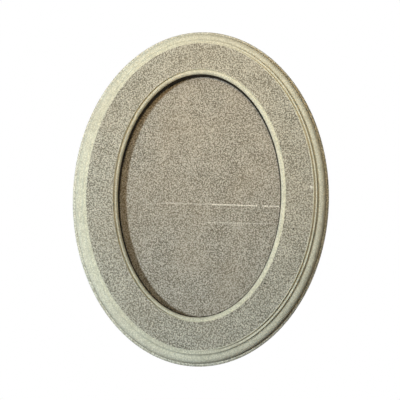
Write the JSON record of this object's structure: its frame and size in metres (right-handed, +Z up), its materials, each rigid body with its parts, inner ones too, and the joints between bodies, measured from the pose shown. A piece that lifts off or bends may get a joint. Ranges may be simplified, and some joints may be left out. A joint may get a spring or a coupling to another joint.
{
  "type": "oval picture frame",
  "caption": "Oval wall picture frame in raw fibreboard with a routed rim, a beaded sight edge, a clear pane and a backing board held by turn buttons, and a sawtooth hanger.",
  "frame": {"origin": "the middle notch of the wall hanger, half way through its sheet, where the frame hooks on a nail", "axes": "+Z up, +X to the right seen from the front, +Y out of the back towards the wall; the face looks along -Y"},
  "size_m": [0.1624, 0.016, 0.2133],
  "materials": {
    "fibreboard": "raw, unpainted",
    "backing_board": "raw, unpainted",
    "clear_sheet": "clear",
    "zinc_plate": "zinc plated",
    "screw_steel": "zinc plated",
    "nail_steel": "bright"
  },
  "bodies": {
    "frame": {"frame_moulding": "fibreboard", "clear_pane": "clear_sheet", "backing_panel": "backing_board", "turn_button_screws": "screw_steel", "sawtooth_hanger": "zinc_plate", "hanger_nails": "nail_steel"},
    "turn_button_upper_left": {"turn_button_upper_left": "zinc_plate"},
    "turn_button_upper_right": {"turn_button_upper_right": "zinc_plate"},
    "turn_button_lower_left": {"turn_button_lower_left": "zinc_plate"},
    "turn_button_lower_right": {"turn_button_lower_right": "zinc_plate"}
  },
  "joints": [
    {"name": "upper_left_turn", "type": "hinge", "parent": "frame", "child": "turn_button_upper_left", "pos_m": [-0.04785, -0.002, -0.02859], "axis": [0, 1, 0], "continuous": true},
    {"name": "upper_right_turn", "type": "hinge", "parent": "frame", "child": "turn_button_upper_right", "pos_m": [0.04785, -0.002, -0.02859], "axis": [0, 1, 0], "continuous": true},
    {"name": "lower_left_turn", "type": "hinge", "parent": "frame", "child": "turn_button_lower_left", "pos_m": [-0.04785, -0.002, -0.15566], "axis": [0, 1, 0], "continuous": true},
    {"name": "lower_right_turn", "type": "hinge", "parent": "frame", "child": "turn_button_lower_right", "pos_m": [0.04785, -0.002, -0.15566], "axis": [0, 1, 0], "continuous": true}
  ]
}
